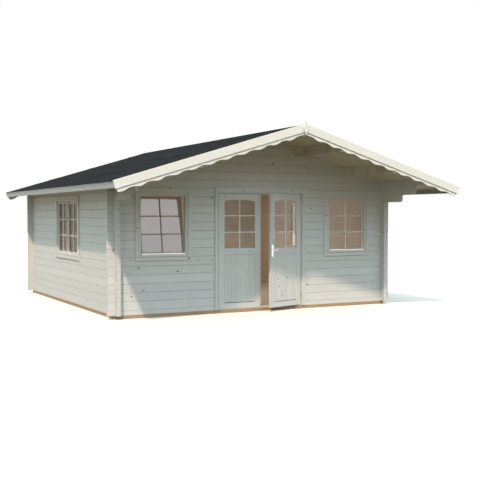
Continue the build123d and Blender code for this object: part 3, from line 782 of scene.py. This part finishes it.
panes = Piece("front_window_panes", "clear_glass", glass, sky_glass)
half_x, half_z = open_width / 2 + PANE_TUCK, open_height / 2 + PANE_TUCK
for place, tag in ((closed, 0), (tilted, 1)):
    panes.box((-half_x, 0.0, -half_z), (half_x, PANE, half_z), PANE_EASE, place, tag)
panes.make("front_window_glass")
front_bare.make()

side_bars = Piece("side_window_bars", "painted_joinery", bar_wood)
side_bare = Piece("side_window_inner_bars", "painted_joinery", bare_y)
side_low, side_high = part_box("side_window_sashes")
side_mid_y = (side_low.y + side_high.y) / 2
side_mid_z = (side_low.z + side_high.z) / 2
side_sash = (side_high.y - side_low.y - MULLION) / 2
side_width = side_sash - 2 * SASH_BORDER
side_height = side_high.z - side_low.z - 2 * SASH_BORDER
for sign in (-1, 1):
    for shift in (-1, 1):
        y = side_mid_y + shift * (side_sash + MULLION) / 2
        turn = Matrix.Rotation(sign * pi / 2, 4, "Z")
        spot = Matrix.Translation((sign * (side_high.x - GLASS_IN), y, side_mid_z)) @ turn
        bars(side_bars, side_bare, side_width, side_height, spot)
side_bars.make()
side_bare.make()

# Trim boards round the windows, butted at the corners and screwed
TRIM = 0.095
TRIM_LAP = 0.016
TRIM_THICK = 0.018
TRIM_EASE = 0.003
FACE = 0.034
FACE_THICK = 0.011
FACE_EASE = 0.002
FACE_GAP = 0.0045
FRONT_FRAME_WIDTH = 0.773

# Heads of the screws: radius, height and sides
SCREW = (0.0036, 0.0006, 8)


def board_ring(piece, a, b, c, d, width, thick, chamfer, place):
    """Four butted boards round the opening from (a, b) to (c, d)."""
    for low, high in ((d, d + width), (b - width, b)):
        piece.box((a - width, 0.0, low), (c + width, thick, high), chamfer, place, tag=0)
    for low, high in ((a - width, a), (c, c + width)):
        piece.box((low, 0.0, b + HAIR), (high, thick, d - HAIR), chamfer, place, tag=1)


def trim_ring(piece, screws, low, high, place):
    """A frame's face and the boards round it: low and high are the frame's corners."""
    a, b = (v + TRIM_LAP for v in low)
    c, d = (v - TRIM_LAP for v in high)
    board_ring(piece, a, b, c, d, FACE, FACE_THICK, FACE_EASE, place)
    out = FACE + FACE_GAP
    a, b, c, d = a - out, b - out, c + out, d + out
    width = TRIM - out
    board_ring(piece, a, b, c, d, width, TRIM_THICK, TRIM_EASE, place)
    for x in (a - width / 2, c + width / 2):
        for share in (0.12, 0.5, 0.88):
            screws.dome((x, TRIM_THICK, b + (d - b) * share), (0, 1, 0), *SCREW, place)
    for z in (b - width / 2, d + width / 2):
        for share in (0.04, 0.5, 0.96):
            screws.dome((a + (c - a) * share, TRIM_THICK, z), (0, 1, 0), *SCREW, place)


facing_front = Matrix(((1, 0, 0, 0), (0, -1, 0, FRONT_Y), (0, 0, 1, 0), (0, 0, 0, 1)))
screws = Piece("trim_screws", "hinge_steel", zinc)
trims = Piece("window_trim_boards", "painted_trim", trim_x, trim_z)
frames_low, frames_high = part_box("front_window_frames")
for sign in (-1, 1):
    across = sorted((sign * (frames_high.x - FRONT_FRAME_WIDTH), sign * frames_high.x))
    trim_ring(trims, screws, (across[0], frames_low.z), (across[1], frames_high.z), facing_front)
side_frames = [(corner.y, corner.z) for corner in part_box("side_window_frames")]
for sign in (-1, 1):
    facing_side = Matrix(((0, sign, 0, sign * WALL_HALF), (1, 0, 0, 0), (0, 0, 1, 0), (0, 0, 0, 1)))
    trim_ring(trims, screws, *side_frames, facing_side)
trims.make("window_trims")

# Trim boards round the doorway
HEAD_TRIM = 0.1
JAMB_TRIM = 0.06
door_low, door_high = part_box("door_trim")
casing = Piece("door_trim_boards", "painted_trim", trim_x, trim_z)
head = door_high.z - HEAD_TRIM
casing.box((door_low.x, 0, head), (door_high.x, TRIM_THICK, door_high.z), TRIM_EASE, facing_front)
for sign, edge in ((-1, door_low.x), (1, door_high.x)):
    across = sorted((edge, edge - sign * JAMB_TRIM))
    low, high = (across[0], 0, door_low.z), (across[1], TRIM_THICK, head - HAIR)
    casing.box(low, high, TRIM_EASE, facing_front, tag=1)
    for share in (0.05, 0.35, 0.65, 0.95):
        z = door_low.z + (head - door_low.z) * share
        screws.dome((edge - sign * JAMB_TRIM / 2, TRIM_THICK, z), (0, 1, 0), *SCREW, facing_front)
casing.make("door_trim")
screws.make(smooth=50)

# Weather bars at the foot of the front windows, by their section in depth and height
WEATHER_BAR = [
    (-0.026, -0.002), (-0.030, 0.0), (-0.030, 0.010), (-0.006, 0.022), (0.0, 0.020), (0.0, 0.0),
]
WEATHER_BAR_IN = 0.011
WEATHER_BAR_UP = 0.0225
WEATHER_BAR_SHORT = 0.004
sills = Piece("window_weather_bars", "hinge_steel", strip)
half = open_width / 2 + SASH_BORDER - WEATHER_BAR_SHORT
y, z = FRONT_Y + WEATHER_BAR_IN, frames_low.z + WEATHER_BAR_UP
for x in (-sash_mid_x, sash_mid_x):
    sills.prism(WEATHER_BAR, -half, half, Matrix.Translation((x, y, z)) @ ALONG_X)
sills.make()

# Doors: boards stand in both faces of a panel, with V joints between them
PANEL_IN = 0.009
PANEL_PROUD = 0.005
PANEL_V_WIDE = 0.0046
PANEL_V_DEEP = 0.004
PANEL_INSET = 0.004
PANEL_FOOT_GAP = 0.0006
PANEL_HEAD_GAP = 0.006
LEVEL_BARS = (1.296, 1.563)
HINGE = Vector((DOORWAY + HINGE_X, HINGE_Y, 0))
leaf_mid = (leaf_low.x + leaf_high.x) / 2
middle = Matrix.Translation((DOORWAY, 0, 0))
mirror = middle @ Matrix.Diagonal((-1, 1, 1, 1)) @ middle.inverted()
opened = Matrix.Translation(HINGE) @ Matrix.Rotation(OPENED, 4, "Z") @ Matrix.Translation(-HINGE)
right_hang = opened @ mirror

for word, hang in (("left", Matrix.Identity(4)), ("right", right_hang)):
    body = f"{word}_door"
    panel = Piece(f"{word}_door_boards", "painted_joinery", panel_wood, body=body)
    half = PANEL_HALF - PANEL_INSET
    step = 2 * half / PANEL_COUNT
    for face_y, inward in ((LEAF_OUT + PANEL_IN, -1), (LEAF_OUT + LEAF_THICK - PANEL_IN, 1)):
        front = face_y + inward * PANEL_PROUD
        eased = front - inward * PANEL_V_DEEP
        for n in range(PANEL_COUNT):
            left = leaf_mid - half + n * step
            right = left + step
            section = [
                (left + HAIR, face_y),
                (right - HAIR, face_y),
                (right - HAIR, eased),
                (right - PANEL_V_WIDE, front),
                (left + PANEL_V_WIDE, front),
                (left + HAIR, eased),
            ]
            if inward < 0:
                section = section[::-1]
            panel.prism(section, PANEL_LOW + PANEL_FOOT_GAP, PANEL_HIGH - PANEL_HEAD_GAP, hang)
    panel.make()

    light_bars = Piece(f"{word}_door_bars", "painted_joinery", bar_wood, body=body)
    light_bare = Piece(f"{word}_door_inner_bars", "painted_joinery", bar_wood, body=body)
    mid_z = (LIGHT_LOW + LIGHT_HIGH) / 2
    pane_place = hang @ Matrix.Translation((leaf_mid, LEAF_OUT + GLASS_IN, mid_z))
    levels = [z - mid_z for z in LEVEL_BARS]
    bars(light_bars, light_bare, 2 * PANEL_HALF, LIGHT_HIGH - LIGHT_LOW, pane_place, levels)
    light_bars.make()
    light_bare.make()

# Handle: a long plate with a lock, and a lever bent over from its neck, on both faces
HANDLE_X = leaf_high.x - 0.048
HANDLE_Z = 1.010
AROUND = 120
PLATE_HALF = 0.019
PLATE_UP = 0.085
PLATE_DOWN = 0.115
PLATE_THICK = 0.003
BORE = 0.0083
PLATE_SCREW = (0.0034, 0.0008, 12)
PLATE_SCREW_IN = 0.012
LOCK = (0.0085, 0.0022, 20)
LOCK_DOWN = 0.072
LOCK_FOOT_HALF = 0.005
LOCK_FOOT = (0.094, 0.078)
plates = Piece("handle_plates", "handle_metal", satin, body="right_door")
levers = Piece("lever_handles", "handle_metal", satin, body="lever")

# Rings of a plate, from its back edge over the face to the bore: inset, lift and if it is the bore
PLATE_RINGS = (
    (0.0, 0.0, False),
    (0.0, 0.0022, False),
    (0.0008, PLATE_THICK, False),
    (0.0, PLATE_THICK, True),
    (0.0, 0.0, True),
)

# The lever's path in plan: reach along the door and out of its face, with half its height and depth
LEVER_SIDES = 20
LEVER_PATH = [
    (0.0, -0.0195, 0.0078, 0.0078),
    (0.0, 0.022, 0.0078, 0.0078),
    (0.0015, 0.03, 0.008, 0.0076),
    (0.0065, 0.0355, 0.0084, 0.0064),
    (0.015, 0.0372, 0.0088, 0.0047),
    (0.045, 0.037, 0.0088, 0.0044),
    (0.08, 0.0352, 0.0082, 0.0042),
    (0.108, 0.0322, 0.0074, 0.004),
    (0.1195, 0.0308, 0.0058, 0.003),
    (0.1225, 0.0305, 0.003, 0.0016),
]


def plate_edge(turn, inset):
    """A point of the plate's rounded outline in a direction from the lever's axis."""
    dx, dz = cos(turn), sin(turn)
    half = PLATE_HALF - inset
    reach = half / max(abs(dx), 1e-6)
    end = (PLATE_UP if dz > 0 else PLATE_DOWN) - PLATE_HALF
    if abs(reach * dz) > end:
        b = end * abs(dz)
        reach = b + (b * b - end * end + half * half) ** 0.5
    return reach * dx, reach * dz


for face_y, out in ((LEAF_OUT, -1), (LEAF_OUT + LEAF_THICK, 1)):
    points = []
    for inset, lift, on_bore in PLATE_RINGS:
        for i in range(AROUND):
            turn = 2 * pi * (i + 0.5) / AROUND
            x, z = (BORE * cos(turn), BORE * sin(turn)) if on_bore else plate_edge(turn, inset)
            points.append((HANDLE_X + x, face_y + out * lift, HANDLE_Z + z))
    faces = []
    for k in range(len(PLATE_RINGS)):
        low, high = k * AROUND, (k + 1) % len(PLATE_RINGS) * AROUND
        for i in range(AROUND):
            j = (i + 1) % AROUND
            faces.append((low + i, low + j, high + j, high + i))
    plates.add(points, facing(faces, out < 0), right_hang)
    plate_y = face_y + out * PLATE_THICK
    for up in (PLATE_UP - PLATE_SCREW_IN, PLATE_SCREW_IN - PLATE_DOWN):
        plates.dome((HANDLE_X, plate_y, HANDLE_Z + up), (0, out, 0), *PLATE_SCREW, right_hang)
    plates.dome((HANDLE_X, plate_y, HANDLE_Z - LOCK_DOWN), (0, out, 0), *LOCK, right_hang)
    near, far = sorted((face_y + out * 0.0025, face_y + out * 0.0052))
    low = (HANDLE_X - LOCK_FOOT_HALF, near, HANDLE_Z - LOCK_FOOT[0])
    high = (HANDLE_X + LOCK_FOOT_HALF, far, HANDLE_Z - LOCK_FOOT[1])
    plates.box(low, high, 0.0012, right_hang)

    points = []
    for n, (u, w, half_z, half_n) in enumerate(LEVER_PATH):
        before, after = LEVER_PATH[max(n - 1, 0)], LEVER_PATH[min(n + 1, len(LEVER_PATH) - 1)]
        along = Vector((after[0] - before[0], after[1] - before[1])).normalized()
        for i in range(LEVER_SIDES):
            turn = 2 * pi * i / LEVER_SIDES
            shift = half_n * cos(turn)
            spot_u, spot_w = u - along.y * shift, w + along.x * shift
            points.append((HANDLE_X - spot_u, face_y + out * spot_w, HANDLE_Z + half_z * sin(turn)))
    last = len(points) - LEVER_SIDES
    faces = [tuple(range(LEVER_SIDES)), tuple(range(last, len(points)))[::-1]]
    for a in range(0, last, LEVER_SIDES):
        b = a + LEVER_SIDES
        for i in range(LEVER_SIDES):
            j = (i + 1) % LEVER_SIDES
            faces.append((a + i, b + i, b + j, a + j))
    levers.add(points, facing(faces, out < 0), right_hang)
plates.make("door_handle_plates", smooth=40)
levers.make("door_lever", smooth=50)

# Knots: each list gives a place along the wall or leaf, a height, and a radius in millimetres
KNOT_SIDES = 14
KNOT_SPREAD = 1.3
FRONT_KNOTS = [
    (-2.114, 0.76, 9), (-2.041, 0.422, 9), (-2.232, 0.338, 8), (-1.464, 0.699, 9), (-1.282, 0.189, 5),
    (-2.251, 0.896, 5), (-2.2, 1.22, 5), (-1.582, 1.987, 7), (-1.828, 1.96, 6), (-0.872, 1.851, 9),
    (-0.873, 0.854, 7), (-1.108, 0.865, 6), (0.987, 1.685, 7), (0.917, 0.399, 9), (0.868, 1.005, 9),
    (0.868, 1.863, 7), (1.712, 0.225, 7), (2.268, 0.416, 7), (2.226, 1.044, 8), (2.232, 1.828, 6),
    (1.552, 2.0, 7), (0.234, 2.415, 10), (0.904, 2.366, 9), (-2.423, 0.411, 8), (-2.512, 1.04, 8),
]
TRIM_KNOTS = [
    (-1.285, 0.896, 9), (-2.145, 1.382, 7), (1.288, 1.571, 8), (-0.319, 1.965, 7), (0.605, 1.98, 7),
]
LEFT_KNOTS = [
    (-1.011, 0.442, 8), (3.04, 1.042, 6), (-0.343, 1.012, 7), (1.793, 1.123, 6), (-0.816, 1.146, 7),
]
LEFT_LEAF_KNOTS = [(-0.652, 1.868, 6), (-0.183, 0.99, 8)]
RIGHT_LEAF_KNOTS = [
    (-0.421, 0.543, 9), (-0.140, 0.644, 7), (-0.175, 0.532, 8), (-0.200, 0.406, 8),
    (-0.284, 0.256, 6), (-0.198, 0.193, 6), (-0.144, 1.184, 6),
]


def knot(piece, center, normal, along, size, place=None):
    """A branch's end, a hair proud of the board and a little longer along the grain."""
    n, a = Vector(normal).normalized(), Vector(along).normalized()
    b = n.cross(a)
    radius = size / 1000 * KNOT_SPREAD
    rim, top = [], []
    for i in range(KNOT_SIDES):
        turn = 2 * pi * i / KNOT_SIDES
        reach = radius * rng.uniform(0.86, 1.14)
        spot = Vector(center) + a * (1.25 * reach * cos(turn)) + b * (reach * sin(turn))
        rim.append(spot - n * 0.0006)
        top.append(spot + n * 0.00025)
    piece.add(rim + top, loft(2, KNOT_SIDES), place)


wall_knots = Piece("wall_knots", "painted_logs", knot_wood)
for x, z, size in FRONT_KNOTS:
    knot(wall_knots, (x, FRONT_Y, z), (0, -1, 0), (1, 0, 0), size)
for y, z, size in LEFT_KNOTS:
    knot(wall_knots, (-WALL_HALF, y, z), (-1, 0, 0), (0, 1, 0), size)
wall_knots.make()
trim_knots = Piece("trim_knots", "painted_trim", knot_wood)
for x, z, size in TRIM_KNOTS:
    knot(trim_knots, (x, FRONT_Y - TRIM_THICK, z), (0, -1, 0), (1, 0, 0), size)
trim_knots.make()
left_knots = Piece("left_door_knots", "painted_joinery", knot_wood, body="left_door")
for x, z, size in LEFT_LEAF_KNOTS:
    knot(left_knots, (x, LEAF_OUT, z), (0, -1, 0), (0, 0, 1), size)
left_knots.make()
right_knots = Piece("right_door_knots", "painted_joinery", knot_wood, body="right_door")
for x, z, size in RIGHT_LEAF_KNOTS:
    on_panel = abs(x - leaf_mid) < PANEL_HALF and PANEL_LOW < z < PANEL_HIGH
    y = LEAF_OUT + (PANEL_IN - PANEL_PROUD if on_panel else 0.0)
    knot(right_knots, (x, y, z), (0, -1, 0), (0, 0, 1), size, right_hang)
right_knots.make()

# Nail heads hold the barge boards, in pairs down the slope
BARGE_NAIL = (0.0042, 0.0008, 8)
BARGE_NAIL_START = 0.28
BARGE_NAIL_STEP = 0.52
nails = Piece("barge_nails", "hinge_steel", zinc)
barge_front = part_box("front_barge_board_left")[0].y
barge_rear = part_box("rear_barge_board_left")[1].y
for sign in (-1, 1):
    for face_y, out in ((barge_front, -1), (barge_rear, 1)):
        for n in range(6):
            for down in (0.028, 0.092):
                x, z = on_slope(sign, BARGE_NAIL_START + n * BARGE_NAIL_STEP, UNDER - down)
                nails.dome((x, face_y, z), (0, out, 0), *BARGE_NAIL)
nails.make(smooth=50)

# A pale floor that throws back less light than its tone would
FLOOR_REACH = 60
corners = [(a * FLOOR_REACH, b * FLOOR_REACH, 0) for a, b in ((-1, -1), (1, -1), (1, 1), (-1, 1))]
floor_mesh = bpy.data.meshes.new("floor")
floor_mesh.from_pydata(corners, [], [(0, 1, 2, 3)])
floor = carrier("floor", floor_mesh)
t = Tree("pale_floor")
cloud = t.noise(t.place()[0], 0.8, 3.0)
rays = t.node("LightPath").outputs
shown = t.math("MAXIMUM", rays["Is Camera Ray"], rays["Is Glossy Ray"])
shown = t.math("MAXIMUM", shown, rays["Is Transmission Ray"])
pale = t.mix(cloud, (0.825, 0.725, 0.64), (0.845, 0.745, 0.66))
color = t.mix(shown, (0.095, 0.082, 0.052), pale)
floor_mesh.materials.append(t.dull(color, 0.9, Specular_IOR_Level=0.0))

# The world is white where it is seen, and a soft sky where it lights the cottage
world = bpy.data.worlds.new("studio")
bpy.context.scene.world = world
world.use_nodes = True
nodes, links = world.node_tree.nodes, world.node_tree.links
nodes.clear()
path = nodes.new("ShaderNodeLightPath")
seen = path.outputs["Is Camera Ray"]
for kind in ("Glossy", "Transmission"):
    larger = nodes.new("ShaderNodeMath")
    larger.operation = "MAXIMUM"
    links.new(seen, larger.inputs[0])
    links.new(path.outputs[f"Is {kind} Ray"], larger.inputs[1])
    seen = larger.outputs[0]

# That sky is dimmer and greyer near the horizon than above
toward = nodes.new("ShaderNodeTexCoord")
parts = nodes.new("ShaderNodeSeparateXYZ")
links.new(toward.outputs["Generated"], parts.inputs[0])
ramp = nodes.new("ShaderNodeValToRGB")
links.new(parts.outputs["Z"], ramp.inputs[0])
horizon, above = ramp.color_ramp.elements
horizon.color = (0.385, 0.415, 0.40, 1)
above.position = 0.7
above.color = (0.665, 0.855, 1.0, 1)
soft = nodes.new("ShaderNodeBackground")
links.new(ramp.outputs["Color"], soft.inputs["Color"])
soft.inputs["Strength"].default_value = 1.70
white = nodes.new("ShaderNodeBackground")
white.inputs["Color"].default_value = (1, 1, 1, 1)
white.inputs["Strength"].default_value = 1.0
both = nodes.new("ShaderNodeMixShader")
links.new(seen, both.inputs[0])
links.new(soft.outputs[0], both.inputs[1])
links.new(white.outputs[0], both.inputs[2])
links.new(both.outputs[0], nodes.new("ShaderNodeOutputWorld").inputs["Surface"])


def lamp(name, kind, energy, color):
    """A light, and the object that carries it."""
    light = bpy.data.lights.new(name, kind)
    light.energy = energy
    light.color = color
    return light, carrier(name, light)


def sun(name, energy, color, spread, toward):
    """Light of this spread in degrees from far away, shining that way."""
    light, made = lamp(name, "SUN", energy, color)
    light.angle = radians(spread)
    made.rotation_euler = Vector(toward).to_track_quat("-Z", "Y").to_euler()


# The sun from the front left, a soft sky light on the front, and a light in the room
sun("key", 3.40, (1.0, 0.779, 0.635), 2.2, (0.49, 0.63, -1.0))
sun("front_sky", 0.78, (0.78, 0.90, 1.0), 50, (0.0, 0.75, -0.66))
fill, fill_lamp = lamp("room_light", "AREA", 52.0, (1.0, 0.95, 0.88))
fill.size = 3.0
fill_lamp.location = (0, (FRONT_Y + BACK_Y) / 2, 2.3)

# The camera that was fitted to the photograph
camera_data = bpy.data.cameras.new("camera")
camera_data.sensor_width = 36
camera_data.sensor_fit = "HORIZONTAL"
camera_data.lens = 62.96
camera_data.clip_end = 500
camera = carrier("camera", camera_data)
camera.location = (-6.667, -13.921, 1.578)
camera.rotation_euler = (pi / 2 - 0.030, 0, -0.482)
bpy.context.scene.camera = camera

bpy.context.scene.view_settings.view_transform = "Standard"
